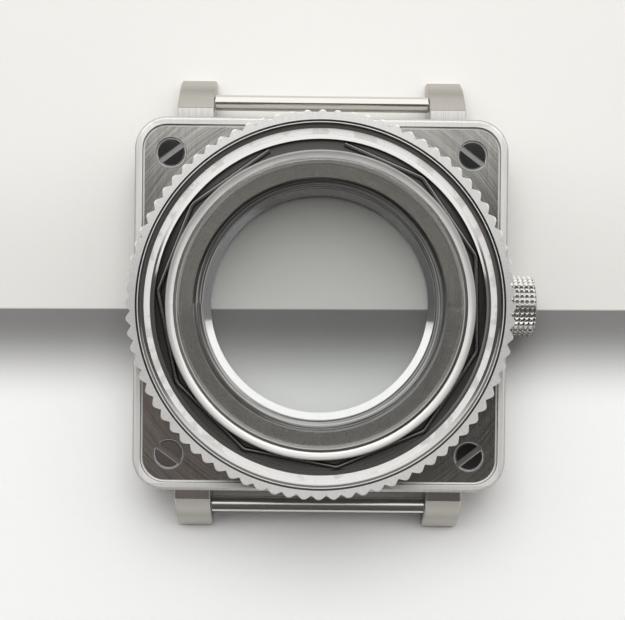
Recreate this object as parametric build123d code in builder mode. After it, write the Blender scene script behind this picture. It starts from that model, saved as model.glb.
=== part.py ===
from build123d import *
import os
from math import cos, radians, sin, sqrt

os.makedirs("parts", exist_ok=True)

# An empty square wrist watch case with a round turning bezel.
# The origin is on the axis of the dial opening, on the plane the case lies on.
# +Z goes up through the crystal, +Y to 12 o'clock and +X to the crown at 3 o'clock.
# Lengths are in millimetres and angles in degrees.

overrun = 1.0  # how far a cutter runs past the face it opens
spring_wire_sides = 8  # the fine spring wires have flat sides

# Mid-case
case_width = 42.0
case_height = 8.0
case_corner_radius = 3.65
case_top_chamfer = 0.35
case_bottom_chamfer = 0.5
rim_width = 0.87
rim_inner_chamfer = 0.04
plate_recess = 0.3
case_half = case_width / 2

# Rings of the top, from the tips of the teeth in to the dial opening
bezel_overhang = 0.64
bezel_face_width = 1.14
bezel_groove_width = 0.12
bezel_lip_width = 0.13
bezel_lip_bevel_width = 0.25
insert_outer_slope_width = 0.34
insert_land_width = 0.66
insert_inner_slope_width = 0.5
wire_channel_width = 1.3
neck_land_width = 0.2
neck_bevel_width = 0.65
neck_shelf_width = 0.3
crystal_gasket_width = 0.15
crystal_ledge_width = 0.15
cone_width = 1.25
tooth_tip_radius = case_half + bezel_overhang
bezel_face_inner_radius = tooth_tip_radius - bezel_face_width
bezel_lip_radius = bezel_face_inner_radius - bezel_groove_width
insert_seat_radius = bezel_lip_radius - bezel_lip_width - bezel_lip_bevel_width
insert_land_radius = insert_seat_radius - insert_outer_slope_width
insert_land_inner_radius = insert_land_radius - insert_land_width
bezel_bore_radius = insert_land_inner_radius - insert_inner_slope_width
neck_radius = bezel_bore_radius - wire_channel_width
neck_bevel_radius = neck_radius - neck_land_width
neck_shelf_radius = neck_bevel_radius - neck_bevel_width
crystal_bore_radius = neck_shelf_radius - neck_shelf_width
crystal_radius = crystal_bore_radius - crystal_gasket_width
cone_top_radius = crystal_radius - crystal_ledge_width
dial_opening_radius = cone_top_radius - cone_width

# Rings of the back, from the movement bore to the window and to the flange
dial_seat_width = 0.95
thread_step_width = 0.95
back_thread_clearance = 0.1
back_wall = 1.4
back_groove_width = 0.4
back_ring_width = 0.45
back_step_width = 0.45
back_bevel_width = 0.8
case_gasket_margin = 0.35
case_gasket_width = 0.45
back_flange_margin = 0.4
movement_bore_radius = dial_opening_radius + dial_seat_width
thread_bore_radius = movement_bore_radius + thread_step_width
back_thread_radius = thread_bore_radius - back_thread_clearance
back_wall_radius = back_thread_radius - back_wall
back_ring_radius = back_wall_radius - back_groove_width
back_step_radius = back_ring_radius - back_ring_width
back_bevel_radius = back_step_radius - back_step_width
window_radius = back_bevel_radius - back_bevel_width
case_gasket_inner_radius = thread_bore_radius + case_gasket_margin
case_gasket_outer_radius = case_gasket_inner_radius + case_gasket_width
back_flange_radius = case_gasket_outer_radius + back_flange_margin

# Case back, a screwed ring with a window
back_flange_height = 1.3
back_flange_chamfer = 0.25
back_thread_length = 1.8
back_thread_relief = 0.2
back_groove_depth = 0.5
back_step_depth = 0.15
back_bevel_depth = 0.45
window_lip_thickness = 0.1
back_glass_thickness = 0.8
back_glass_recess = 0.1
back_glass_seat_width = 0.5
back_gasket_width = 0.2
notch_count = 6
notch_width = 2.0
notch_reach = 1.0
notch_depth = 0.7
case_gasket_height = 0.4
back_glass_bottom_z = back_glass_recess
back_glass_top_z = back_glass_bottom_z + back_glass_thickness
back_glass_seat_radius = window_radius + back_glass_seat_width + back_gasket_width
window_lip_z = back_glass_top_z + window_lip_thickness
back_step_z = window_lip_z + back_bevel_depth
back_ring_z = back_step_z + back_step_depth

# Heights of the mid-case, all from the back face
movement_bore_length = 3.5
dial_lip_height = 0.5
case_bottom_z = back_flange_height
rim_top_z = case_bottom_z + case_height
plate_top_z = rim_top_z - plate_recess
thread_top_z = case_bottom_z + back_thread_length + back_thread_relief
dial_seat_z = thread_top_z + movement_bore_length
dial_lip_top_z = dial_seat_z + dial_lip_height

# Neck and the crystal in it
neck_rise = 2.6
neck_edge_chamfer = 0.08
neck_bevel_depth = 0.28
crystal_thickness = 1.5
crystal_proud = 0.15
crystal_chamfer_width = 0.2
crystal_chamfer_height = 0.15
crystal_lower_chamfer = 0.1
crystal_gasket_foot = 0.2
crystal_gasket_drop = 0.04
crystal_gasket_slope = 0.08
neck_top_z = rim_top_z + neck_rise
neck_shelf_z = neck_top_z - neck_bevel_depth
crystal_top_z = neck_shelf_z + crystal_proud
crystal_bottom_z = crystal_top_z - crystal_thickness
crystal_seat_z = crystal_bottom_z - crystal_gasket_foot

# Top plate and its corner screws
plate_thickness = 1.2
plate_clearance = 0.04
plate_edge_width = 0.24
plate_edge_depth = 0.08
plate_bridge = 0.53
deck_drop = 0.05
plate_hole_clearance = 0.15
screw_edge_distance = 4.07
screw_head_radius = 1.65
screw_head_height = 0.7
screw_head_chamfer = 0.22
screw_sink = 0.06
screw_seat_clearance = 0.1
screw_shank_radius = 0.85
screw_shank_clearance = 0.12
screw_grip = 3.0
screw_hole_relief = 0.4
screw_slot_width = 0.66
screw_slot_depth = 0.35
# one row for each screw: side along X, side along Y, angle of its slot
screw_places = [(-1, 1, 37.0), (1, 1, -37.0), (-1, -1, -36.0), (1, -1, 38.0)]
screw_offset = case_half - screw_edge_distance
plate_floor_z = plate_top_z - plate_thickness
deck_z = plate_top_z - deck_drop
pocket_width = case_width - 2 * rim_width
pocket_corner_radius = case_corner_radius - rim_width
deck_radius = pocket_width / 2 - plate_bridge
screw_seat_z = plate_top_z - screw_sink - screw_head_height

# Turning bezel
bezel_gap = 0.15
bezel_height = 2.35
tooth_count = 80
tooth_depth_share = 0.32
tooth_land_share = 0.18
tooth_tip_round_share = 0.2
tooth_top_chamfer = 0.14
bezel_step_depth = 0.22
bezel_groove_depth = 0.18
bezel_lip_bevel_depth = 0.2
insert_seat_depth = 1.0
insert_outer_slope_rise = 0.06
insert_inner_slope_rise = 0.11
insert_slope_bend_share = 0.27
bezel_ledge_height = 0.6
bezel_neck_clearance = 0.08
ratchet_count = 120
ratchet_margin = 0.9
ratchet_length = 1.2
ratchet_width = 0.7
ratchet_depth = 0.35
tooth_angle = 360 / tooth_count
tooth_pitch = radians(tooth_angle) * tooth_tip_radius
tooth_depth = tooth_depth_share * tooth_pitch
bezel_bottom_z = rim_top_z + bezel_gap
bezel_top_z = bezel_bottom_z + bezel_height
bezel_ledge_z = bezel_bottom_z + bezel_ledge_height
insert_seat_z = bezel_top_z - insert_seat_depth
bezel_step_z = bezel_top_z - bezel_step_depth
bezel_ledge_radius = neck_radius + bezel_neck_clearance
ratchet_inner_radius = neck_radius + ratchet_margin

# Retaining wire, bent to an open polygon round the neck
wire_radius = 0.28
wire_corner_rise = 1.0
wire_bend_radius = 1.2
wire_gap = 0.02
wire_groove_depth = 0.2
wire_corner_angles = [109, 142.5, 175.75, 208.75, 242.5, 276.25, 310, 343.75, 378, 411.75, 442]
wire_corner_radius = neck_radius + wire_corner_rise
wire_z = bezel_ledge_z + wire_gap + wire_radius

# Click spring under the bezel
click_thickness = 0.2
click_inner_margin = 0.4
click_outer_margin = 0.25
click_tab_count = 3
click_tab_length = 3.6
click_tab_width = 0.8
click_tab_margin = 0.25
click_tip_length = 0.4
click_rise_into_notch = 0.2
click_ear_width = 1.2
click_ear_drop = 0.5
click_ear_clearance = 0.1
click_inner_radius = neck_radius + click_inner_margin
click_outer_radius = deck_radius - click_outer_margin
click_top_z = deck_z + click_thickness

# Lugs, placed from the side and the top of the case
strap_gap = 24.6
lug_width = 4.15
bar_reach = 2.15
bar_drop = 2.2
lug_facet_drop = 2.6
lug_facet_setback = 0.8
lug_tip_reach = 3.05
lug_tip_height = 0.75
lug_slope_bulge = 0.42
lug_foot_length = 1.9
lug_embed = 1.2
lug_heel_rise = 1.0
lug_edge_radius = 0.28
lug_inner_x = strap_gap / 2
lug_facet_z = rim_top_z - lug_facet_drop
bar_y = case_half + bar_reach
bar_z = lug_facet_z - bar_drop
lug_facet_end_y = bar_y - lug_facet_setback
lug_tip_y = bar_y + lug_tip_reach

# Strap bars, each a tube with a sprung tip at both ends
bar_pin_radius = 0.5
bar_pin_clearance = 0.08
bar_shoulder = 0.1
bar_wall = 0.22
bar_end_clearance = 0.1
bar_lip_length = 0.5
bar_pin_reach = 1.4
bar_pin_chamfer = 0.12
bar_head_clearance = 0.08
bar_head_length = 5.2
bar_spring_clearance = 0.08
bar_spring_wire_radius = 0.12
bar_spring_turns = 12
bar_half_length = lug_inner_x - bar_end_clearance
lug_hole_radius = bar_pin_radius + bar_pin_clearance
bar_bore_radius = lug_hole_radius + bar_shoulder
bar_radius = bar_bore_radius + bar_wall
bar_head_radius = bar_bore_radius - bar_head_clearance
bar_spring_radius = bar_head_radius - bar_spring_clearance - bar_spring_wire_radius

# Crown, placed from the side of the case at half its height
crown_gap = 0.25
crown_radius = 3.5
crown_inner_bevel = 0.2
crown_dome_inset = 0.35
crown_dome_height = 0.45
crown_flat_radius = 0.4
crown_dome_margin = 0.1
crown_wall = 0.5
knurl_count = 36
knurl_rings = 5
knurl_ring_pitch = 0.56
knurl_depth = 0.22
knurl_width_share = 0.72
knurl_margin = 0.15
tube_thread_radius = 1.75
tube_shoulder = 0.25
tube_wall = 0.4
tube_shank_length = 3.8
crown_running_clearance = 0.08
crown_gasket_thickness = 0.2
sleeve_length = 2.1
hex_across_flats = 1.2
hex_clearance = 0.06
hex_socket_depth = 0.9
post_clearance = 0.15
post_bore_margin = 0.25
post_hex_start = 0.3
post_hex_length = 2.1
post_thread_radius = 0.45
post_thread_length = 3.5
stem_hole_clearance = 0.1
crown_spring_wire_radius = 0.1
crown_spring_turns = 4
crown_z = case_bottom_z + case_height / 2
crown_dome_radius = crown_radius - crown_dome_inset
knurl_length = knurl_rings * knurl_ring_pitch + 2 * knurl_margin
crown_length = knurl_length + crown_dome_margin + crown_dome_height
crown_end = crown_gap + crown_length
socket_end = crown_end - crown_wall
crown_bore_end = socket_end - hex_socket_depth
tube_thread_length = crown_bore_end - crown_gasket_thickness
tube_shank_radius = tube_thread_radius - tube_shoulder
tube_bore_radius = tube_shank_radius - tube_wall
sleeve_radius = tube_bore_radius - crown_running_clearance
post_radius = tube_bore_radius - post_clearance
post_length = case_half - post_hex_start - movement_bore_radius - post_bore_margin
crown_spring_start = post_hex_length - post_hex_start
crown_spring_coil_radius = hex_across_flats / 2 - 2 * crown_spring_wire_radius
crown_plane = Plane(origin=(case_half, 0, crown_z), x_dir=(1, 0, 0), z_dir=(0, -1, 0))
crown_axis = Axis((case_half, 0, crown_z), (1, 0, 0))


def save(piece, name):
    """Label a finished piece and write it to its own file."""
    piece.label = name
    export_step(piece, f"parts/{name}.step")
    print(f"{name}: {len(piece.solids())} solid, {piece.volume:.3f} mm3")


def turned(points, plane=Plane.XZ, axis=Axis.Z, mode=Mode.ADD):
    """Turn a closed outline of radius and height about an axis."""
    with BuildSketch(plane) as section:
        with BuildLine():
            Polyline(*points, close=True)
        make_face()
    revolve(section.sketch, axis=axis, mode=mode)


def crosswise_hole(radius, start, length, mode=Mode.SUBTRACT):
    """A round bar or hole along the crown's axis, measured from the side of the case."""
    with BuildSketch(Plane.YZ.offset(case_half + start)) as section:
        with Locations((0, crown_z)):
            Circle(radius)
    extrude(section.sketch, amount=length, mode=mode)


# One lug, a straight block with a short flat top and a rounded slope down to its foot
with BuildPart() as lug:
    facet_end = (lug_facet_end_y, lug_facet_z)
    tip_top = (lug_tip_y, lug_tip_height)
    slope = Vector(lug_tip_y - lug_facet_end_y, lug_tip_height - lug_facet_z)
    slope_normal = Vector(-slope.Y, slope.X).normalized()
    slope_middle = (
        (lug_facet_end_y + lug_tip_y) / 2 + slope_normal.X * lug_slope_bulge,
        (lug_facet_z + lug_tip_height) / 2 + slope_normal.Y * lug_slope_bulge,
    )
    lug_root_y = case_half - lug_embed
    with BuildSketch(Plane.YZ.offset(lug_inner_x)) as lug_side:
        with BuildLine():
            Line((lug_root_y, lug_facet_z), facet_end)
            ThreePointArc(facet_end, slope_middle, tip_top)
            Polyline(
                tip_top,
                (lug_tip_y, 0),
                (lug_tip_y - lug_foot_length, 0),
                (case_half, case_bottom_z + lug_heel_rise),
                (lug_root_y, case_bottom_z + lug_heel_rise),
                (lug_root_y, lug_facet_z),
            )
        make_face()
    extrude(amount=lug_width)
    lug_sides = lug.faces().filter_by(Axis.X)
    fillet(lug_sides.edges(), lug_edge_radius)

with BuildPart() as case_body:
    with BuildSketch(Plane.XY.offset(case_bottom_z)):
        RectangleRounded(case_width, case_width, case_corner_radius)
    extrude(amount=case_height)
    chamfer(case_body.edges().group_by(Axis.Z)[-1], case_top_chamfer)
    chamfer(case_body.edges().group_by(Axis.Z)[0], case_bottom_chamfer)

    # four lugs, mirrored to both sides and both ends
    lug_right = lug.part
    lug_left = lug_right.mirror(Plane.YZ)
    add([lug_right, lug_left, lug_right.mirror(Plane.XZ), lug_left.mirror(Plane.XZ)])
    for side in (-1, 1):
        with BuildSketch(Plane.YZ.offset(-case_half)) as lug_holes:
            with Locations((side * bar_y, bar_z)):
                Circle(lug_hole_radius)
        extrude(lug_holes.sketch, amount=case_width, mode=Mode.SUBTRACT)

    # pocket for the top plate, round a low deck
    with BuildSketch(Plane.XY.offset(plate_floor_z)):
        RectangleRounded(pocket_width, pocket_width, pocket_corner_radius)
        Circle(deck_radius, mode=Mode.SUBTRACT)
    extrude(amount=plate_thickness + plate_recess + overrun, mode=Mode.SUBTRACT)
    with BuildSketch(Plane.XY.offset(deck_z)):
        Circle(deck_radius)
    extrude(amount=rim_top_z - deck_z + overrun, mode=Mode.SUBTRACT)
    with BuildSketch(Plane.XY.offset(rim_top_z - rim_inner_chamfer)):
        RectangleRounded(pocket_width, pocket_width, pocket_corner_radius)
    extrude(amount=rim_inner_chamfer, taper=-45, mode=Mode.SUBTRACT)

    # neck that carries the crystal and the bezel
    with BuildSketch(Plane.XY.offset(deck_z)):
        Circle(neck_radius)
    extrude(amount=neck_top_z - deck_z)
    chamfer(case_body.edges().group_by(Axis.Z)[-1], neck_edge_chamfer)
    turned(
        [
            (neck_radius - wire_groove_depth, wire_z - wire_radius - wire_gap),
            (neck_radius + overrun, wire_z - wire_radius - wire_gap),
            (neck_radius + overrun, wire_z + wire_radius + wire_gap),
            (neck_radius - wire_groove_depth, wire_z + wire_radius + wire_gap),
        ],
        mode=Mode.SUBTRACT,
    )

    # stepped bore: back thread, movement, dial opening, cone, crystal, sloping rim
    turned(
        [
            (0, case_bottom_z - overrun),
            (thread_bore_radius, case_bottom_z - overrun),
            (thread_bore_radius, thread_top_z),
            (movement_bore_radius, thread_top_z),
            (movement_bore_radius, dial_seat_z),
            (dial_opening_radius, dial_seat_z),
            (dial_opening_radius, dial_lip_top_z),
            (cone_top_radius, crystal_seat_z),
            (crystal_bore_radius, crystal_seat_z),
            (crystal_bore_radius, neck_shelf_z),
            (neck_shelf_radius, neck_shelf_z),
            (neck_bevel_radius, neck_top_z),
            (neck_bevel_radius, neck_top_z + overrun),
            (0, neck_top_z + overrun),
        ],
        mode=Mode.SUBTRACT,
    )

    # groove for the gasket of the case back
    with BuildSketch(Plane.XY.offset(case_bottom_z)):
        Circle(case_gasket_outer_radius)
        Circle(case_gasket_inner_radius, mode=Mode.SUBTRACT)
    extrude(amount=case_gasket_height, mode=Mode.SUBTRACT)

    # tapped holes for the corner screws
    with BuildSketch(Plane.XY.offset(plate_floor_z)):
        with GridLocations(2 * screw_offset, 2 * screw_offset, 2, 2):
            Circle(screw_shank_radius)
    extrude(amount=-screw_grip - screw_hole_relief, mode=Mode.SUBTRACT)

    # pocket for the ear that keeps the click spring from turning
    with BuildSketch(Plane.XY.offset(deck_z)):
        with Locations((-(click_inner_radius + click_outer_radius) / 2, 0)):
            Rectangle(click_ear_width + 2 * click_ear_clearance, click_ear_width + 2 * click_ear_clearance)
    extrude(amount=-click_ear_drop - click_ear_clearance, mode=Mode.SUBTRACT)

    # stem hole and seat of the crown tube
    crosswise_hole(post_radius + stem_hole_clearance, -case_half + dial_opening_radius, case_half)
    crosswise_hole(tube_shank_radius, -tube_shank_length, tube_shank_length + overrun)
save(case_body.part, "case_body")

with BuildPart() as top_plate:
    plate_width = pocket_width - 2 * plate_clearance
    with BuildSketch(Plane.XY.offset(plate_floor_z)):
        RectangleRounded(plate_width, plate_width, pocket_corner_radius - plate_clearance)
    extrude(amount=plate_thickness)
    plate_top = top_plate.faces().sort_by(Axis.Z)[-1]
    chamfer(plate_top.edges(), plate_edge_width, plate_edge_depth, reference=plate_top)
    with BuildSketch(Plane.XY.offset(plate_floor_z)):
        Circle(deck_radius + plate_hole_clearance)
    extrude(amount=plate_thickness, mode=Mode.SUBTRACT)
    with Locations(Plane.XY.offset(plate_top_z)):
        with GridLocations(2 * screw_offset, 2 * screw_offset, 2, 2):
            CounterBoreHole(
                radius=screw_shank_radius + screw_shank_clearance,
                counter_bore_radius=screw_head_radius + screw_seat_clearance,
                counter_bore_depth=plate_top_z - screw_seat_z,
                depth=plate_thickness,
            )
save(top_plate.part, "top_plate")

with BuildPart() as corner_screws:
    screw_end_z = plate_floor_z - screw_grip
    with BuildSketch(Plane.XY.offset(screw_seat_z)):
        with GridLocations(2 * screw_offset, 2 * screw_offset, 2, 2):
            Circle(screw_head_radius)
    extrude(amount=screw_head_height)
    chamfer(corner_screws.edges().group_by(Axis.Z)[-1], screw_head_chamfer)
    with BuildSketch(Plane.XY.offset(screw_end_z)):
        with GridLocations(2 * screw_offset, 2 * screw_offset, 2, 2):
            Circle(screw_shank_radius)
    extrude(amount=screw_seat_z - screw_end_z)
    for side_x, side_y, slot_angle in screw_places:
        with BuildSketch(Plane.XY.offset(screw_seat_z + screw_head_height)) as slot:
            with Locations((side_x * screw_offset, side_y * screw_offset)):
                Rectangle(4 * screw_head_radius, screw_slot_width, rotation=slot_angle)
        extrude(slot.sketch, amount=-screw_slot_depth, mode=Mode.SUBTRACT)
save(corner_screws.part, "corner_screws")

# One ratchet notch, cut from the underside of the bezel
with BuildPart() as ratchet_notch:
    with BuildSketch(Plane.YZ.offset(ratchet_inner_radius)):
        with BuildLine():
            Polyline(
                (-ratchet_width / 2, bezel_bottom_z),
                (ratchet_width / 2, bezel_bottom_z),
                (0, bezel_bottom_z + ratchet_depth),
                close=True,
            )
        make_face()
    extrude(amount=ratchet_length)

with BuildPart() as bezel_ring:
    # toothed rim with a V between rounded tips
    rim_points = []
    for tooth in range(tooth_count):
        places = [
            (tooth_tip_radius, tooth - tooth_land_share / 2),
            (tooth_tip_radius, tooth + tooth_land_share / 2),
            (tooth_tip_radius - tooth_depth, tooth + 1 / 2),
        ]
        for radius, step in places:
            angle = radians(step * tooth_angle)
            rim_points.append((radius * cos(angle), radius * sin(angle)))
    with BuildSketch(Plane.XY.offset(bezel_bottom_z)) as rim:
        with BuildLine():
            Polyline(*rim_points, close=True)
        make_face()
        corners = rim.vertices().group_by(lambda v: round(Vector(v.X, v.Y).length, 3))
        fillet(corners[-1], tooth_tip_round_share * tooth_pitch)
    extrude(amount=bezel_height)

    # bevel over the tops of the teeth
    turned(
        [
            (tooth_tip_radius - tooth_top_chamfer, bezel_top_z),
            (tooth_tip_radius + overrun, bezel_top_z),
            (tooth_tip_radius + overrun, bezel_top_z - tooth_top_chamfer - overrun),
        ],
        mode=Mode.SUBTRACT,
    )

    # stepped bore: neck, channel for the wire, dished seat for an insert, lip, groove
    bend_radius = bezel_bore_radius + insert_inner_slope_width / 2
    groove_floor_z = bezel_step_z - bezel_groove_depth
    turned(
        [
            (0, bezel_bottom_z - overrun),
            (bezel_ledge_radius, bezel_bottom_z - overrun),
            (bezel_ledge_radius, bezel_ledge_z),
            (bezel_bore_radius, bezel_ledge_z),
            (bezel_bore_radius, insert_seat_z + insert_inner_slope_rise),
            (bend_radius, insert_seat_z + insert_inner_slope_rise * insert_slope_bend_share),
            (insert_land_inner_radius, insert_seat_z),
            (insert_land_radius, insert_seat_z),
            (insert_seat_radius, insert_seat_z + insert_outer_slope_rise),
            (insert_seat_radius, bezel_step_z - bezel_lip_bevel_depth),
            (insert_seat_radius + bezel_lip_bevel_width, bezel_step_z),
            (bezel_lip_radius, bezel_step_z),
            (bezel_lip_radius, groove_floor_z),
            (bezel_face_inner_radius, groove_floor_z),
            (bezel_face_inner_radius, bezel_top_z + overrun),
            (0, bezel_top_z + overrun),
        ],
        mode=Mode.SUBTRACT,
    )
    with PolarLocations(0, ratchet_count):
        add(ratchet_notch.part, mode=Mode.SUBTRACT)
save(bezel_ring.part, "bezel_ring")

with BuildPart() as bezel_retaining_wire:
    wire_corners = []
    for corner_angle in wire_corner_angles:
        angle = radians(corner_angle)
        wire_corners.append((wire_corner_radius * cos(angle), wire_corner_radius * sin(angle), wire_z))
    with BuildLine() as wire_path:
        FilletPolyline(*wire_corners, radius=wire_bend_radius)
    with BuildSketch(Plane(origin=wire_path.line @ 0, z_dir=wire_path.line % 0)):
        Circle(wire_radius)
    sweep(path=wire_path.line)
save(bezel_retaining_wire.part, "bezel_retaining_wire")

# One bent-up tab of the click spring, its tip in a ratchet notch at the +X side
with BuildPart() as click_tab:
    tab_top = bezel_bottom_z + click_rise_into_notch
    with BuildSketch(Plane.YZ.offset(ratchet_inner_radius + click_tab_margin)):
        with BuildLine():
            Polyline(
                (-click_tab_length, deck_z),
                (-click_tab_length, click_top_z),
                (-click_tip_length, tab_top - click_tip_length),
                (0, tab_top),
                (click_thickness / 2, tab_top - click_thickness),
                (-click_tip_length + click_thickness, tab_top - click_tip_length - click_thickness),
                (-click_tab_length + click_tip_length, deck_z),
                close=True,
            )
        make_face()
    extrude(amount=click_tab_width)

with BuildPart() as bezel_click_spring:
    with BuildSketch(Plane.XY.offset(deck_z)):
        Circle(click_outer_radius)
        Circle(click_inner_radius, mode=Mode.SUBTRACT)
    extrude(amount=click_thickness)
    # windows under the free part of each tab
    window_inner_radius = ratchet_inner_radius + click_tab_margin / 2
    window_width = click_tab_width + click_tab_margin
    with BuildSketch(Plane.XY.offset(deck_z)):
        with PolarLocations(0, click_tab_count):
            with Locations((window_inner_radius + window_width / 2, -click_tab_length / 2)):
                Rectangle(window_width, click_tab_length)
    extrude(amount=click_thickness, mode=Mode.SUBTRACT)
    with PolarLocations(0, click_tab_count):
        add(click_tab.part)
    # ear in its pocket in the deck, half a pitch from the tabs
    with BuildSketch(Plane.XY.offset(deck_z - click_ear_drop)):
        with Locations((-(click_inner_radius + click_outer_radius) / 2, 0)):
            Rectangle(click_ear_width, click_ear_width)
    extrude(amount=click_ear_drop)
save(bezel_click_spring.part, "bezel_click_spring")

with BuildPart() as crystal:
    turned(
        [
            (0, crystal_bottom_z),
            (crystal_radius - crystal_lower_chamfer, crystal_bottom_z),
            (crystal_radius, crystal_bottom_z + crystal_lower_chamfer),
            (crystal_radius, crystal_top_z - crystal_chamfer_height),
            (crystal_radius - crystal_chamfer_width, crystal_top_z),
            (0, crystal_top_z),
        ]
    )
save(crystal.part, "crystal")

with BuildPart() as crystal_gasket:
    gasket_top_z = neck_shelf_z - crystal_gasket_drop
    turned(
        [
            (cone_top_radius, crystal_seat_z),
            (crystal_bore_radius, crystal_seat_z),
            (crystal_bore_radius, gasket_top_z),
            (crystal_radius, gasket_top_z - crystal_gasket_slope),
            (crystal_radius, crystal_bottom_z),
            (cone_top_radius, crystal_bottom_z),
        ]
    )
save(crystal_gasket.part, "crystal_gasket")

with BuildPart() as case_back:
    thread_end_z = case_bottom_z + back_thread_length
    groove_floor_z = back_ring_z - back_groove_depth
    turned(
        [
            (back_glass_seat_radius, 0),
            (back_flange_radius - back_flange_chamfer, 0),
            (back_flange_radius, back_flange_chamfer),
            (back_flange_radius, case_bottom_z),
            (back_thread_radius, case_bottom_z),
            (back_thread_radius, thread_end_z),
            (back_wall_radius, thread_end_z),
            (back_wall_radius, groove_floor_z),
            (back_ring_radius, groove_floor_z),
            (back_ring_radius, back_ring_z),
            (back_step_radius, back_ring_z),
            (back_step_radius, back_step_z),
            (back_bevel_radius, back_step_z),
            (window_radius, window_lip_z),
            (window_radius, back_glass_top_z),
            (back_glass_seat_radius, back_glass_top_z),
        ]
    )
    # notches for the opening tool
    with BuildSketch(Plane.XY):
        with PolarLocations(back_flange_radius, notch_count, start_angle=180 / notch_count):
            Rectangle(2 * notch_reach, notch_width)
    extrude(amount=notch_depth, mode=Mode.SUBTRACT)
save(case_back.part, "case_back")

with BuildPart() as back_crystal:
    with BuildSketch(Plane.XY.offset(back_glass_bottom_z)):
        Circle(window_radius + back_glass_seat_width)
    extrude(amount=back_glass_thickness)
save(back_crystal.part, "back_crystal")

with BuildPart() as back_crystal_gasket:
    with BuildSketch(Plane.XY.offset(back_glass_bottom_z)):
        Circle(back_glass_seat_radius)
        Circle(back_glass_seat_radius - back_gasket_width, mode=Mode.SUBTRACT)
    extrude(amount=back_glass_thickness)
save(back_crystal_gasket.part, "back_crystal_gasket")

with BuildPart() as case_back_gasket:
    with BuildSketch(Plane.XY.offset(case_bottom_z)):
        Circle(case_gasket_outer_radius)
        Circle(case_gasket_inner_radius, mode=Mode.SUBTRACT)
    extrude(amount=case_gasket_height)
save(case_back_gasket.part, "case_back_gasket")

with BuildPart() as crown_tube:
    turned(
        [
            (-tube_shank_length, tube_bore_radius),
            (-tube_shank_length, tube_shank_radius),
            (0, tube_shank_radius),
            (0, tube_thread_radius),
            (tube_thread_length, tube_thread_radius),
            (tube_thread_length, tube_bore_radius),
        ],
        crown_plane,
        crown_axis,
    )
save(crown_tube.part, "crown_tube")

with BuildPart() as crown_cap:
    crown_bore_radius = tube_thread_radius + crown_running_clearance
    sleeve_start = crown_bore_end - sleeve_length
    knurl_start = crown_gap + knurl_margin
    knurl_end = crown_gap + knurl_length
    dome_start = crown_end - crown_dome_height

    # outline of the knurl, a shallow V between narrow flats
    flank = knurl_width_share / 2
    knurl_points = []
    for groove in range(knurl_count):
        places = [
            (crown_radius - knurl_depth, groove),
            (crown_radius, groove + flank),
            (crown_radius, groove + 1 - flank),
        ]
        for radius, step in places:
            angle = radians(step * 360 / knurl_count)
            knurl_points.append((radius * cos(angle), crown_z + radius * sin(angle)))
    with BuildSketch(Plane.YZ.offset(case_half + crown_gap)):
        with BuildLine():
            Polyline(*knurl_points, close=True)
        make_face()
    extrude(amount=crown_length)

    # low dome with a small flat in its middle at the outer end, small bevel at the inner end
    dome_step = crown_dome_radius**2 - crown_flat_radius**2
    dome_back = (dome_step + crown_dome_height**2) / (2 * crown_dome_height)
    dome_half_way = (crown_dome_radius + crown_flat_radius) / 2
    dome_middle = sqrt(dome_back**2 + crown_flat_radius**2 - dome_half_way**2) - dome_back
    outside = crown_radius + overrun
    with BuildSketch(crown_plane):
        with BuildLine():
            ThreePointArc(
                (dome_start, crown_dome_radius),
                (crown_end + dome_middle, dome_half_way),
                (crown_end, crown_flat_radius),
            )
            Polyline(
                (crown_end, crown_flat_radius),
                (crown_end + overrun, crown_flat_radius),
                (crown_end + overrun, outside),
                (knurl_end, outside),
                (knurl_end, crown_radius),
                (dome_start, crown_dome_radius),
            )
        make_face()
    revolve(axis=crown_axis, mode=Mode.SUBTRACT)
    turned(
        [
            (crown_gap, crown_radius - crown_inner_bevel),
            (crown_gap, outside),
            (crown_gap + crown_inner_bevel + overrun, outside),
        ],
        crown_plane,
        crown_axis,
        mode=Mode.SUBTRACT,
    )

    # rings round the crown, which leave small blunt pyramids
    ring_flank = knurl_width_share * knurl_ring_pitch / 2
    with BuildSketch(crown_plane):
        for ring in range(knurl_rings + 1):
            ring_x = knurl_start + ring * knurl_ring_pitch
            with BuildLine():
                Polyline(
                    (ring_x, crown_radius - knurl_depth),
                    (ring_x + 2 * ring_flank, crown_radius + knurl_depth),
                    (ring_x - 2 * ring_flank, crown_radius + knurl_depth),
                    close=True,
                )
            make_face()
    revolve(axis=crown_axis, mode=Mode.SUBTRACT)

    # bore over the tube, with a sleeve that runs inside it
    crosswise_hole(crown_bore_radius, crown_gap, crown_bore_end - crown_gap)
    crosswise_hole(sleeve_radius, sleeve_start, sleeve_length, mode=Mode.ADD)

    # six-sided socket for the post and its spring
    with BuildSketch(Plane.YZ.offset(case_half + sleeve_start)):
        with Locations((0, crown_z)):
            RegularPolygon(hex_across_flats / 2 + hex_clearance, 6, major_radius=False)
    extrude(amount=socket_end - sleeve_start, mode=Mode.SUBTRACT)
save(crown_cap.part, "crown_cap")

with BuildPart() as crown_post:
    crosswise_hole(post_radius, -post_hex_start - post_length, post_length, mode=Mode.ADD)
    with BuildSketch(Plane.YZ.offset(case_half - post_hex_start)):
        with Locations((0, crown_z)):
            RegularPolygon(hex_across_flats / 2, 6, major_radius=False)
    extrude(amount=post_hex_length)
    crosswise_hole(post_thread_radius, -post_hex_start - post_length, post_thread_length)
save(crown_post.part, "crown_post")

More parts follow.
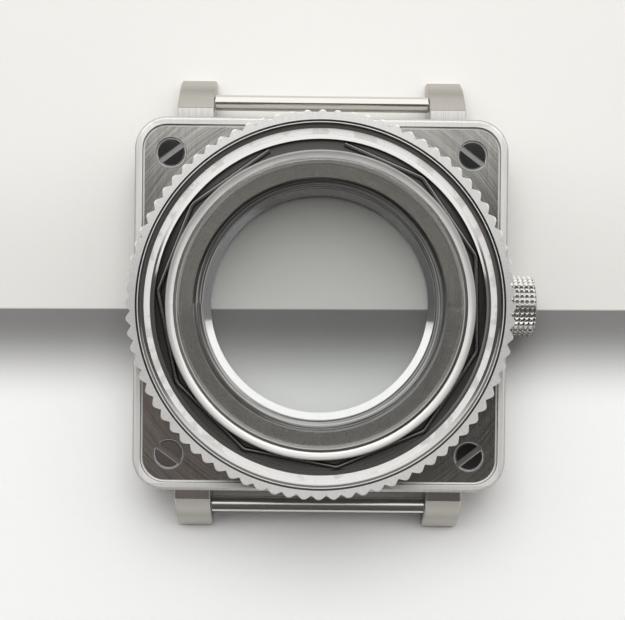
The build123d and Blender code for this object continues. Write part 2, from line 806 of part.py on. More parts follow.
with BuildPart() as crown_spring:
    crown_spring_length = socket_end - crown_spring_start - 2 * crown_spring_wire_radius
    spring_base = case_half + crown_spring_start + crown_spring_wire_radius
    with BuildLine() as crown_coil:
        Helix(
            pitch=crown_spring_length / crown_spring_turns,
            height=crown_spring_length,
            radius=crown_spring_coil_radius,
            center=(spring_base, 0, crown_z),
            direction=(1, 0, 0),
        )
    with BuildSketch(Plane(origin=crown_coil.line @ 0, z_dir=crown_coil.line % 0)):
        RegularPolygon(crown_spring_wire_radius, spring_wire_sides)
    sweep(path=crown_coil.line, is_frenet=True)
save(crown_spring.part, "crown_spring")

with BuildPart() as crown_gasket:
    turned(
        [
            (tube_thread_length, tube_bore_radius),
            (tube_thread_length, tube_thread_radius),
            (crown_bore_end, tube_thread_radius),
            (crown_bore_end, tube_bore_radius),
        ],
        crown_plane,
        crown_axis,
    )
save(crown_gasket.part, "crown_gasket")


def strap_bar(prefix, side):
    """A strap bar between two lugs: tube, sprung tips and the spring between them."""
    axis_y = side * bar_y
    plane = Plane(origin=(0, axis_y, bar_z), x_dir=(1, 0, 0), z_dir=(0, -1, 0))
    axis = Axis((0, axis_y, bar_z), (1, 0, 0))
    lip_x = bar_half_length - bar_lip_length
    with BuildPart() as tube:
        turned(
            [
                (-bar_half_length, lug_hole_radius),
                (-bar_half_length, bar_radius),
                (bar_half_length, bar_radius),
                (bar_half_length, lug_hole_radius),
                (lip_x, lug_hole_radius),
                (lip_x, bar_bore_radius),
                (-lip_x, bar_bore_radius),
                (-lip_x, lug_hole_radius),
            ],
            plane,
            axis,
        )
    save(tube.part, f"{prefix}_bar_tube")

    head_x = lip_x - bar_head_length
    pin_x = lug_inner_x + bar_pin_reach
    for hand, name in ((-1, "left"), (1, "right")):
        with BuildPart() as tip:
            turned(
                [
                    (hand * head_x, 0),
                    (hand * head_x, bar_head_radius),
                    (hand * lip_x, bar_head_radius),
                    (hand * lip_x, bar_pin_radius),
                    (hand * (pin_x - bar_pin_chamfer), bar_pin_radius),
                    (hand * pin_x, bar_pin_radius - bar_pin_chamfer),
                    (hand * pin_x, 0),
                ],
                plane,
                axis,
            )
        save(tip.part, f"{prefix}_bar_{name}_tip")

    with BuildPart() as spring:
        coil_half = head_x - bar_spring_wire_radius
        with BuildLine() as coil:
            Helix(
                pitch=2 * coil_half / bar_spring_turns,
                height=2 * coil_half,
                radius=bar_spring_radius,
                center=(-coil_half, axis_y, bar_z),
                direction=(1, 0, 0),
            )
        with BuildSketch(Plane(origin=coil.line @ 0, z_dir=coil.line % 0)):
            RegularPolygon(bar_spring_wire_radius, spring_wire_sides)
        sweep(path=coil.line, is_frenet=True)
    save(spring.part, f"{prefix}_bar_spring")


strap_bar("upper", 1)
strap_bar("lower", -1)
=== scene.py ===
import math
import bpy
from mathutils import Matrix, Vector


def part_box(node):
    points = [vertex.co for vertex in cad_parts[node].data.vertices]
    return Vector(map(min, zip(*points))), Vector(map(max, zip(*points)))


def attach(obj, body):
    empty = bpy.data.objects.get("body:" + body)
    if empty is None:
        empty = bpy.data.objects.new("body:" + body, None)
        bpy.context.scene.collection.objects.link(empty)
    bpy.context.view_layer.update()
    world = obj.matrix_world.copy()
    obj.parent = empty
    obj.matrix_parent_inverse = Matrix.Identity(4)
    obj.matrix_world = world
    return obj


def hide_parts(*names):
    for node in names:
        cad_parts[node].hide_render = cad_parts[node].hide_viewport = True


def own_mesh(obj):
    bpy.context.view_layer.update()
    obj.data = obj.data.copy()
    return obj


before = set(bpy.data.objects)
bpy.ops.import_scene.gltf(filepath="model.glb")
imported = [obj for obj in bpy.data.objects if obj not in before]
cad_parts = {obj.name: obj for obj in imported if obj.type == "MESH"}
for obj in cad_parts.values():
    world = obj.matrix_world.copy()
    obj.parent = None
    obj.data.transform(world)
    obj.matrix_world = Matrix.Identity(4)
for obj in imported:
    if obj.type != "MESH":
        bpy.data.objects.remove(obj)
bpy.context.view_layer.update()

mm = 0.001
print("frame loaded:", len(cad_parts), "nodes")


# node helpers, shared by every finish

# a socket takes a number, a colour of three numbers, or what another node gives
def put(tree, socket, value):
    if isinstance(value, bpy.types.NodeSocket):
        tree.links.new(value, socket)
    elif socket.type == "RGBA":
        socket.default_value = (*value, 1.0)
    else:
        socket.default_value = value


def splitUp(tree, vector):
    node = tree.nodes.new("ShaderNodeSeparateXYZ")
    put(tree, node.inputs[0], vector)
    return tuple(node.outputs)


def newFinish(name):
    mat = bpy.data.materials.new(name)
    mat.use_nodes = True
    tree = mat.node_tree
    shader = next(n for n in tree.nodes if n.type == "BSDF_PRINCIPLED")
    where = tree.nodes.new("ShaderNodeTexCoord").outputs["Object"]
    return mat, tree, shader, where, splitUp(tree, where)


def give(tree, shader, name, value):
    put(tree, shader.inputs[name], value)


def calc(tree, operation, *values, clamp=False):
    node = tree.nodes.new("ShaderNodeMath")
    node.operation = operation
    node.use_clamp = clamp
    for socket, value in zip(node.inputs, values):
        put(tree, socket, value)
    return node.outputs[0]


def plus(tree, first, second):
    return calc(tree, "ADD", first, second)


def minus(tree, first, second):
    return calc(tree, "SUBTRACT", first, second)


# a product, and for two masks the place where both hold
def times(tree, first, second):
    return calc(tree, "MULTIPLY", first, second)


def divided(tree, first, second):
    return calc(tree, "DIVIDE", first, second)


def either(tree, first, second):
    return calc(tree, "MAXIMUM", first, second)


def outside(tree, mask):
    return minus(tree, 1.0, mask)


def radiusOf(tree, x, y):
    return calc(tree, "SQRT", plus(tree, times(tree, x, x), times(tree, y, y)))


def angleOf(tree, x, y):
    return calc(tree, "ARCTAN2", y, x)


stepWidth = 0.02 * mm  # where one finish meets the next


# 1 where value is over edge, with a short soft step
def above(tree, value, edge, soft=stepWidth):
    return calc(tree, "DIVIDE", minus(tree, value, edge - soft / 2), soft, clamp=True)


def below(tree, value, edge, soft=stepWidth):
    return outside(tree, above(tree, value, edge, soft))


def within(tree, value, low, high, soft=stepWidth):
    return times(tree, above(tree, value, low, soft), below(tree, value, high, soft))


# 0 under low, 1 over high, with a smooth way between
def ramp(tree, value, low, high):
    node = tree.nodes.new("ShaderNodeMapRange")
    node.interpolation_type = "SMOOTHERSTEP"
    node.inputs["From Min"].default_value = low
    node.inputs["From Max"].default_value = high
    put(tree, node.inputs["Value"], value)
    return node.outputs[0]


# a pattern from 0 to 1 spread from low to high
def spread(tree, value, low, high):
    node = tree.nodes.new("ShaderNodeMapRange")
    node.inputs["To Min"].default_value = low
    node.inputs["To Max"].default_value = high
    put(tree, node.inputs["Value"], value)
    return node.outputs[0]


# the numbers are the places of the factor and of the two values on the node
def blendValue(tree, mask, low, high):
    node = tree.nodes.new("ShaderNodeMix")
    for place, value in zip((0, 2, 3), (mask, low, high)):
        put(tree, node.inputs[place], value)
    return node.outputs[0]


def blendColor(tree, mask, low, high):
    node = tree.nodes.new("ShaderNodeMix")
    node.data_type = "RGBA"
    for place, value in zip((0, 6, 7), (mask, low, high)):
        put(tree, node.inputs[place], value)
    return node.outputs[2]


def shade(color, share):
    return tuple(c * share for c in color)


def noise(tree, vector, scale=1.0, detail=3.0, rough=0.55):
    node = tree.nodes.new("ShaderNodeTexNoise")
    for name, value in (("Scale", scale), ("Detail", detail), ("Roughness", rough)):
        node.inputs[name].default_value = value
    put(tree, node.inputs["Vector"], vector)
    return node.outputs["Fac"]


def speckNoise(tree, vector, scale=1.0):
    return noise(tree, vector, scale, detail=2.0)


def smudgeNoise(tree, vector, scale):
    return noise(tree, vector, scale, detail=4.0, rough=0.6)


def pack(tree, x, y, z):
    node = tree.nodes.new("ShaderNodeCombineXYZ")
    for socket, value in zip(node.inputs, (x, y, z)):
        put(tree, socket, value)
    return node.outputs[0]


def stretched(tree, vector, scale, turn=(0, 0, 0)):
    node = tree.nodes.new("ShaderNodeMapping")
    node.inputs["Scale"].default_value = scale
    node.inputs["Rotation"].default_value = [math.radians(a) for a in turn]
    put(tree, node.inputs["Vector"], vector)
    return node.outputs[0]


brushing = {"coarseWidth": 0.22, "coarseLength": 0.35, "fineShare": 0.65, "coarseShare": 0.35}


# straight brushing, about 0 to 1, along the local Y of the turned vector
def lineGrain(tree, vector, turn, lineWidth, lineLength):
    across, along = 1 / lineWidth, 1 / lineLength
    fine = stretched(tree, vector, (across, along, across), turn)
    across, along = brushing["coarseWidth"] / lineWidth, brushing["coarseLength"] / lineLength
    coarse = stretched(tree, vector, (across, along, across), turn)
    broad = times(tree, speckNoise(tree, coarse), brushing["coarseShare"])
    return calc(tree, "MULTIPLY_ADD", speckNoise(tree, fine), brushing["fineShare"], broad)


# turned or circular brushing round the Z axis, its lines as long as asked for at one radius
def ringGrain(tree, x, y, z, ringWidth, ringLength, atRadius=20 * mm):
    across = divided(tree, radiusOf(tree, x, y), ringWidth)
    along = times(tree, angleOf(tree, x, y), atRadius / ringLength)
    return noise(tree, pack(tree, across, along, divided(tree, z, ringWidth)))


# 0 to 0.5 and back once for each turn of a thread
def threadRidge(tree, along, angle, pitch):
    lead = plus(tree, divided(tree, along, pitch), divided(tree, angle, 2 * math.pi))
    return calc(tree, "PINGPONG", lead, 0.5)


def addBump(tree, shader, height, strength, distance):
    node = tree.nodes.new("ShaderNodeBump")
    node.inputs["Strength"].default_value = strength
    node.inputs["Distance"].default_value = distance
    put(tree, node.inputs["Height"], height)
    give(tree, shader, "Normal", node.outputs[0])


# highlights drawn out away from the Z axis, as brushing round it does
def drawOut(tree, shader, x, y, amount):
    turn = tree.nodes.new("ShaderNodeVectorTransform")
    turn.vector_type = "VECTOR"
    turn.convert_from = "OBJECT"
    turn.convert_to = "WORLD"
    put(tree, turn.inputs[0], pack(tree, x, y, 0.0))
    give(tree, shader, "Tangent", turn.outputs[0])
    give(tree, shader, "Anisotropic", amount)


def dress(nodeName, mat):
    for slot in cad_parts[nodeName].material_slots:
        slot.material = mat


# mid-case: brushed outside, polished lug facets, satin neck, blasted cone

caseLook = {
    "side": (0.60, 0.59, 0.568), "rim": (0.79, 0.782, 0.76), "rimEdgeHighlight": (0.95, 0.95, 0.94),
    "lug": (0.52, 0.50, 0.465), "lugPaintedReflection": (0.34, 0.325, 0.29), "facet": (0.95, 0.94, 0.93),
    "neck": (0.87, 0.865, 0.85), "neckOuter": (0.38, 0.375, 0.37), "shelf": (0.92, 0.915, 0.905),
    "cone": (0.42, 0.40, 0.375), "pit": (0.22, 0.21, 0.20),
    "line": (0.26, 0.25, 0.235), "smudge": (0.42, 0.40, 0.37),
    "sideLines": 0.42, "topLines": 0.16, "lineLevels": (0.62, 0.30),
    "smudges": (0.22, 0.0), "bands": (0.4, 1.0), "pits": (0.35, 0.0),
    "sideRough": 0.30, "rimRough": 0.42, "lugRough": 0.34, "facetRough": 0.07,
    "neckRough": 0.36, "shelfRough": 0.16, "coneRough": (0.20, 0.36), "grainRough": (-0.07, 0.08),
    "rimMetal": 0.42, "neckMetal": 0.12,
    "lineWidth": 0.06 * mm, "sideLine": 3.0 * mm, "lugLine": 2.5 * mm,
    "ringWidth": 0.09 * mm, "ringLength": 6 * mm, "speckle": 9000.0, "cloud": 160.0,
    "relief": 0.14, "reliefDepth": 0.02 * mm,
    "caseHalf": 21.0 * mm, "rimHeight": 9.12 * mm, "rimEdgeOuter": 20.2 * mm,
    "bandFrom": 24.2 * mm, "bandTo": 25.0 * mm, "bandSoft": 0.9 * mm,
    "facetEnd": 22.30 * mm, "facetFrom": 6.62 * mm, "facetTo": 6.78 * mm,
    "neckRadius": 17.4 * mm, "neckEdge": 17.15 * mm, "neckHeight": 11.55 * mm,
    "shelfRadius": 16.36 * mm, "coneRadius": 15.8 * mm, "coneFrom": 6.6 * mm, "coneTo": 10.1 * mm,
}


def caseFinish():
    look = caseLook
    mat, tree, shader, where, (x, y, z) = newFinish("caseSteel")
    radius = radiusOf(tree, x, y)
    outY = calc(tree, "ABSOLUTE", y)
    wide = either(tree, calc(tree, "ABSOLUTE", x), outY)
    # the zones of the one piece
    coneHeight = within(tree, z, look["coneFrom"], look["coneTo"])
    cone = times(tree, below(tree, radius, look["coneRadius"]), coneHeight)
    lug = above(tree, outY, look["caseHalf"])
    facetReach = within(tree, outY, look["caseHalf"], look["facetEnd"])
    facet = times(tree, within(tree, z, look["facetFrom"], look["facetTo"]), facetReach)
    core = below(tree, radius, look["neckRadius"])
    neck = times(tree, core, above(tree, z, look["neckHeight"]))
    shelf = times(tree, neck, below(tree, radius, look["shelfRadius"]))
    aroundNeck = above(tree, radius, look["neckRadius"])
    rim = times(tree, above(tree, z, look["rimHeight"]), aroundNeck)
    rimEdgeHighlight = times(tree, rim, below(tree, wide, look["rimEdgeOuter"]))
    band = within(tree, outY, look["bandFrom"], look["bandTo"], look["bandSoft"])
    # grain: along the sides, down the lugs, round the bores
    sideGrain = lineGrain(tree, where, (0, 0, 90), look["lineWidth"], look["sideLine"])
    lugGrain = lineGrain(tree, where, (0, 0, 0), look["lineWidth"], look["lugLine"])
    turned = ringGrain(tree, x, y, z, look["ringWidth"], look["ringLength"])
    grain = blendValue(tree, core, blendValue(tree, lug, sideGrain, lugGrain), turned)
    speckle = speckNoise(tree, where, look["speckle"])
    cloud = noise(tree, where, look["cloud"])
    # colour
    color = blendColor(tree, lug, look["side"], look["lug"])
    color = blendColor(tree, rim, color, look["rim"])
    # a painted highlight: the rim's inner edge in near-white
    color = blendColor(tree, rimEdgeHighlight, color, look["rimEdgeHighlight"])
    outwards = ramp(tree, radius, look["shelfRadius"], look["neckEdge"])
    neckTone = blendColor(tree, outwards, look["neck"], look["neckOuter"])
    color = blendColor(tree, core, color, neckTone)
    color = blendColor(tree, shelf, color, look["shelf"])
    # a painted dark reflection: a band across the lug slopes, broken up by cloud
    bands = times(tree, band, spread(tree, cloud, *look["bands"]))
    color = blendColor(tree, bands, color, look["lugPaintedReflection"])
    color = blendColor(tree, facet, color, look["facet"])
    color = blendColor(tree, cone, color, look["cone"])
    lineShare = blendValue(tree, either(tree, rim, lug), look["sideLines"], look["topLines"])
    lines = times(tree, ramp(tree, grain, *look["lineLevels"]), lineShare)
    color = blendColor(tree, lines, color, look["line"])
    color = blendColor(tree, spread(tree, cloud, *look["smudges"]), color, look["smudge"])
    pits = times(tree, cone, spread(tree, speckle, *look["pits"]))
    give(tree, shader, "Base Color", blendColor(tree, pits, color, look["pit"]))
    # gloss
    rough = blendValue(tree, lug, look["sideRough"], look["lugRough"])
    rough = blendValue(tree, rim, rough, look["rimRough"])
    rough = blendValue(tree, core, rough, look["neckRough"])
    rough = plus(tree, rough, spread(tree, grain, *look["grainRough"]))
    rough = blendValue(tree, shelf, rough, look["shelfRough"])
    rough = blendValue(tree, facet, rough, look["facetRough"])
    rough = blendValue(tree, cone, rough, spread(tree, speckle, *look["coneRough"]))
    give(tree, shader, "Roughness", rough)
    metal = blendValue(tree, rim, 1.0, look["rimMetal"])
    metal = blendValue(tree, minus(tree, neck, shelf), metal, look["neckMetal"])
    give(tree, shader, "Metallic", metal)
    ridges = times(tree, grain, outside(tree, either(tree, cone, facet)))
    dents = times(tree, speckle, either(tree, cone, neck))
    addBump(tree, shader, plus(tree, ridges, dents), look["relief"], look["reliefDepth"])
    return mat


dress("case_body", caseFinish())


# top plate: long arcs of brushing round the bezel, a bevelled edge with a painted highlight

plateLook = {
    "steel": (0.78, 0.77, 0.735), "steelDark": (0.38, 0.375, 0.352), "edge": (0.93, 0.93, 0.92),
    "toneLevels": (0.32, 0.66), "rough": (0.12, 0.24), "cloudRough": (-0.04, 0.04),
    "edgeRough": 0.3, "edgeMetal": 0.6, "drawOut": 0.6, "cloud": 70.0,
    "lineWidth": 0.042 * mm, "lineLength": 8 * mm, "fineShare": 0.50,
    "broadWidth": 7, "broadLength": 0.8, "broadShare": 0.28,
    "strayTurn": 52, "strayWidth": 1.2, "strayLength": 0.5, "strayShare": 0.22,
    "edgeBelow": 8.99 * mm, "edgeSoft": 0.01 * mm, "relief": 0.12, "reliefDepth": 0.02 * mm,
}


def plateFinish():
    look = plateLook
    mat, tree, shader, where, (x, y, z) = newFinish("plateSteel")
    width, length = look["lineWidth"], look["lineLength"]
    fine = ringGrain(tree, x, y, z, width, length)
    broad = ringGrain(tree, x, y, z, look["broadWidth"] * width, look["broadLength"] * length)
    strayTurn = (0, 0, look["strayTurn"])
    width, length = look["strayWidth"] * width, look["strayLength"] * length
    stray = lineGrain(tree, where, strayTurn, width, length)
    cloud = speckNoise(tree, where, look["cloud"])
    edge = below(tree, z, look["edgeBelow"], look["edgeSoft"])
    tone = times(tree, stray, look["strayShare"])
    tone = calc(tree, "MULTIPLY_ADD", broad, look["broadShare"], tone)
    tone = calc(tree, "MULTIPLY_ADD", fine, look["fineShare"], tone)
    levels = ramp(tree, tone, *look["toneLevels"])
    color = blendColor(tree, levels, look["steelDark"], look["steel"])
    # a painted highlight: the bevelled edge in near-white, less metallic
    give(tree, shader, "Base Color", blendColor(tree, edge, color, look["edge"]))
    cloudRough = spread(tree, cloud, *look["cloudRough"])
    rough = plus(tree, spread(tree, tone, *look["rough"]), cloudRough)
    give(tree, shader, "Roughness", blendValue(tree, edge, rough, look["edgeRough"]))
    give(tree, shader, "Metallic", blendValue(tree, edge, 1.0, look["edgeMetal"]))
    drawOut(tree, shader, x, y, look["drawOut"])
    lines = times(tree, fine, outside(tree, edge))
    addBump(tree, shader, lines, look["relief"], look["reliefDepth"])
    return mat


dress("top_plate", plateFinish())


# corner screws: black mirror heads with a painted highlight as a bright outline, satin slot floors

screwLook = {
    "head": (0.40, 0.40, 0.405), "ring": (0.20, 0.20, 0.205), "outline": (0.95, 0.945, 0.935),
    "slot": (0.46, 0.455, 0.445), "smudge": (0.20, 0.19, 0.19), "smudges": (0.3, 0.0),
    "rough": (0.02, 0.045), "hairRough": (0.0, 0.015), "slotRough": 0.30, "outlineMetal": 0.5,
    "cloud": 500.0, "hairTurn": 31, "hairWidth": 0.04 * mm, "hairLength": 1.2 * mm,
    "slotHeight": 8.70 * mm, "outlineHeight": 8.82 * mm, "flatHeight": 8.93 * mm,
    "stepSoft": 0.01 * mm, "relief": 0.05, "reliefDepth": 0.01 * mm,
}


def screwFinish():
    look = screwLook
    mat, tree, shader, where, (_, _, z) = newFinish("screwSteel")
    soft = look["stepSoft"]
    cloud = smudgeNoise(tree, where, look["cloud"])
    hair = lineGrain(tree, where, (0, 0, look["hairTurn"]), look["hairWidth"], look["hairLength"])
    slot = below(tree, z, look["slotHeight"], soft)
    outline = within(tree, z, look["slotHeight"], look["outlineHeight"], soft)
    flat = above(tree, z, look["flatHeight"], soft)
    color = blendColor(tree, flat, look["ring"], look["head"])
    # a painted highlight: a near-white ring round the head
    color = blendColor(tree, outline, color, look["outline"])
    color = blendColor(tree, slot, color, look["slot"])
    smudges = spread(tree, cloud, *look["smudges"])
    give(tree, shader, "Base Color", blendColor(tree, smudges, color, look["smudge"]))
    hairRough = spread(tree, hair, *look["hairRough"])
    shine = plus(tree, spread(tree, cloud, *look["rough"]), hairRough)
    dull = either(tree, slot, outline)
    give(tree, shader, "Roughness", blendValue(tree, dull, shine, look["slotRough"]))
    give(tree, shader, "Metallic", blendValue(tree, outline, 1.0, look["outlineMetal"]))
    addBump(tree, shader, hair, look["relief"], look["reliefDepth"])
    return mat


dress("corner_screws", screwFinish())


# crown: polished studs, an end turned round its own axis

crownLook = {
    "color": (0.80, 0.795, 0.78), "end": (0.62, 0.612, 0.60), "dimShare": 0.86, "lineShare": 0.6,
    "lineLevels": (0.62, 0.32), "rough": (0.15, 0.21), "endRough": (0.20, 0.34),
    "cloud": 420.0, "ringWidth": 0.05 * mm, "ringLength": 5 * mm, "ringAt": 2 * mm,
    "axis": 5.3 * mm, "studsTo": 24.36 * mm, "relief": 0.12, "reliefDepth": 0.01 * mm,
}


def crownFinish():
    look = crownLook
    mat, tree, shader, where, (x, y, z) = newFinish("crownSteel")
    up = minus(tree, z, look["axis"])
    end = above(tree, x, look["studsTo"])
    cloud = smudgeNoise(tree, where, look["cloud"])
    turned = ringGrain(tree, y, up, x, look["ringWidth"], look["ringLength"], look["ringAt"])
    color = blendColor(tree, cloud, shade(look["color"], look["dimShare"]), look["color"])
    lines = ramp(tree, turned, *look["lineLevels"])
    endColor = blendColor(tree, lines, look["end"], shade(look["end"], look["lineShare"]))
    give(tree, shader, "Base Color", blendColor(tree, end, color, endColor))
    shine = spread(tree, cloud, *look["rough"])
    endRough = spread(tree, turned, *look["endRough"])
    give(tree, shader, "Roughness", blendValue(tree, end, shine, endRough))
    give(tree, shader, "Metallic", 1.0)
    addBump(tree, shader, times(tree, turned, end), look["relief"], look["reliefDepth"])
    return mat


dress("crown_cap", crownFinish())


# wire and springs: polished steel with faint smudges and hair lines

polish = {
    "dimShare": 0.86, "cloud": 420.0, "hairRough": (0.0, 0.03), "hairTurn": (23, 11, 47),
    "hairWidth": 0.05 * mm, "hairLength": 1.6 * mm, "relief": 0.05, "reliefDepth": 0.01 * mm,
}
# the wire's steel is darkened far below the springs': painted shade of the channel it lies in
wireLook = {"color": (0.25, 0.247, 0.243), "rough": (0.2, 0.3)}
springLook = {"color": (0.60, 0.60, 0.59), "rough": (0.2, 0.25)}


def polishedFinish(name, look):
    mat, tree, shader, where, _ = newFinish(name)
    cloud = smudgeNoise(tree, where, polish["cloud"])
    hair = lineGrain(tree, where, polish["hairTurn"], polish["hairWidth"], polish["hairLength"])
    smudges = spread(tree, cloud, 0.0, 1.0)
    color = blendColor(tree, smudges, shade(look["color"], polish["dimShare"]), look["color"])
    give(tree, shader, "Base Color", color)
    hairRough = spread(tree, hair, *polish["hairRough"])
    give(tree, shader, "Roughness", plus(tree, spread(tree, cloud, *look["rough"]), hairRough))
    give(tree, shader, "Metallic", 1.0)
    addBump(tree, shader, hair, polish["relief"], polish["reliefDepth"])
    return mat


dress("bezel_retaining_wire", polishedFinish("wireSteel", wireLook))
springSteel = polishedFinish("springSteel", springLook)
for nodeName in ("bezel_click_spring", "crown_spring", "upper_bar_spring", "lower_bar_spring"):
    dress(nodeName, springSteel)


# bar springs in two halves, each attached to its bar

barSpringLook = {"travel": 1.45 * mm, "weld": 0.001 * mm}


def halfSpring(end, side, sign):
    nodeName = f"{end}_bar_spring"
    low, high = (Vector(corner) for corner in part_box(nodeName))
    middle = (low + high) / 2
    weld = barSpringLook["weld"]
    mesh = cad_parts[nodeName].data.copy()
    mesh.name = f"{end}{side.title()}Spring"
    half = bpy.data.objects.new(mesh.name, mesh)
    half.data.materials.clear()
    half.data.materials.append(springSteel)
    bpy.context.scene.collection.objects.link(half)
    bpy.ops.object.select_all(action="DESELECT")
    half.select_set(True)
    bpy.context.view_layer.objects.active = half
    bpy.ops.object.mode_set(mode="EDIT")
    bpy.ops.mesh.select_all(action="SELECT")
    bpy.ops.mesh.remove_doubles(threshold=weld)
    bpy.ops.mesh.bisect(
        plane_co=middle, plane_no=(sign, 0, 0), use_fill=True, clear_inner=True, threshold=weld,
    )
    bpy.ops.object.mode_set(mode="OBJECT")
    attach(half, f"{end}_bar")
    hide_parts(nodeName)
    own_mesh(half)
    return half


for end in ("upper", "lower"):
    springs = [halfSpring(end, side, sign) for side, sign in (("left", -1), ("right", 1))]
    print(end, "bar spring:", [len(half.data.polygons) for half in springs], "faces")


# bezel: fine brushed face, darker flanks of the teeth, polished lip and slopes,
# satin land for an insert; painted shade in the groove and channel, a painted dark reflection on
# the lip bevel

bezelLook = {
    "face": (0.98, 0.978, 0.965), "flank": (0.62, 0.615, 0.60), "slope": (0.62, 0.615, 0.605),
    "land": (0.95, 0.95, 0.94), "patch": (0.70, 0.69, 0.67), "channel": (0.15, 0.147, 0.143),
    "line": (0.42, 0.41, 0.40), "streak": (0.5, 0.49, 0.47),
    "lines": (0.20, 0.0), "streaks": (0.36, -0.2), "patches": 0.8, "patchLevels": (0.50, 0.62),
    "faceRough": (0.31, 0.46), "landRough": (0.32, 0.48), "slopeRough": 0.10,
    "channelRough": 0.30, "drawOut": 0.8, "faceMetal": 0.70, "landMetal": 0.25, "lipMetal": 0.5,
    "lineWidth": 0.05 * mm, "lineLength": 2.4 * mm, "streakWidth": 1.2 * mm, "streakTurns": 110.0,
    "speckle": 7000.0, "patchScale": 420.0,
    "lineRelief": 0.4, "relief": 0.10, "reliefDepth": 0.015 * mm,
    "faceInner": 20.55 * mm, "flankTop": 11.64 * mm, "grooveInner": 20.36 * mm,
    "lipInner": 20.25 * mm, "lipFrom": 11.55 * mm, "lipBevelInner": 20.02 * mm,
    "landOuter": 19.68 * mm, "landInner": 19.0 * mm, "landTop": 10.9 * mm,
    "bore": 18.52 * mm, "channelTop": 10.72 * mm,
}


def bezelFinish():
    look = bezelLook
    mat, tree, shader, where, (x, y, z) = newFinish("bezelSteel")
    radius = radiusOf(tree, x, y)
    # the zones, from the teeth inwards
    overLand = above(tree, z, look["landTop"])
    face = above(tree, radius, look["faceInner"])
    flank = times(tree, face, below(tree, z, look["flankTop"]))
    groove = times(tree, within(tree, radius, look["grooveInner"], look["faceInner"]), overLand)
    lipTop = above(tree, z, look["lipFrom"])
    lip = times(tree, within(tree, radius, look["lipInner"], look["grooveInner"]), lipTop)
    lipBevel = times(tree, within(tree, radius, look["lipBevelInner"], look["lipInner"]), overLand)
    landLow = below(tree, z, look["landTop"])
    land = times(tree, within(tree, radius, look["landInner"], look["landOuter"]), landLow)
    channelLow = below(tree, z, look["channelTop"])
    channel = times(tree, below(tree, radius, look["bore"]), channelLow)
    # painted shade in the groove and channel, a painted dark reflection on the lip bevel
    dark = either(tree, either(tree, groove, lipBevel), channel)
    brushed = either(tree, face, lip)
    # grain
    grain = ringGrain(tree, x, y, z, look["lineWidth"], look["lineLength"])
    speckle = speckNoise(tree, where, look["speckle"])
    spots = ramp(tree, noise(tree, where, look["patchScale"]), *look["patchLevels"])
    patches = times(tree, spots, land)
    across = divided(tree, radius, look["streakWidth"])
    along = times(tree, angleOf(tree, x, y), look["streakTurns"])
    streaks = noise(tree, pack(tree, across, along, 0.0))
    # colour
    faceColor = blendColor(tree, flank, look["face"], look["flank"])
    color = blendColor(tree, brushed, look["slope"], faceColor)
    color = blendColor(tree, land, color, look["land"])
    color = blendColor(tree, times(tree, patches, look["patches"]), color, look["patch"])
    color = blendColor(tree, spread(tree, grain, *look["lines"]), color, look["line"])
    faceStreaks = times(tree, face, spread(tree, streaks, *look["streaks"]))
    color = blendColor(tree, faceStreaks, color, look["streak"])
    give(tree, shader, "Base Color", blendColor(tree, dark, color, look["channel"]))
    # gloss
    faceRough = spread(tree, grain, *look["faceRough"])
    rough = blendValue(tree, brushed, look["slopeRough"], faceRough)
    rough = blendValue(tree, land, rough, spread(tree, speckle, *look["landRough"]))
    give(tree, shader, "Roughness", blendValue(tree, dark, rough, look["channelRough"]))
    metal = blendValue(tree, land, 1.0, look["landMetal"])
    metal = blendValue(tree, minus(tree, face, flank), metal, look["faceMetal"])
    give(tree, shader, "Metallic", blendValue(tree, lip, metal, look["lipMetal"]))
    drawOut(tree, shader, x, y, look["drawOut"])
    lines = times(tree, grain, times(tree, brushed, look["lineRelief"]))
    height = plus(tree, lines, times(tree, speckle, land))
    addBump(tree, shader, height, look["relief"], look["reliefDepth"])
    return mat


dress("bezel_ring", bezelFinish())


# case back: turned flats, polished inner bevel, brushed outer face, fine thread on its wall

backLook = {
    "flat": (0.86, 0.855, 0.84), "line": (0.16, 0.155, 0.15), "lineLevels": (0.40, 0.60),
    "bevel": (0.80, 0.80, 0.795), "outer": (0.74, 0.73, 0.72), "flatMetal": 0.45,
    "flatRough": (0.37, 0.50), "outerRough": (0.22, 0.34), "bevelRough": (0.05, 0.08),
    "ringWidth": 0.06 * mm, "ringLength": 9 * mm, "lineWidth": 0.13 * mm, "lineLength": 40 * mm,
    "bevelRadius": 13.6 * mm, "bevelFrom": 0.95 * mm, "outerTo": 0.3 * mm,
    "threadPitch": 0.35 * mm, "threadFrom": 1.32 * mm, "threadRadius": 16.2 * mm,
    "threadRelief": 6.0, "flatRelief": 0.35, "bevelRelief": 0.02,
    "relief": 0.35, "reliefDepth": 0.03 * mm,
}


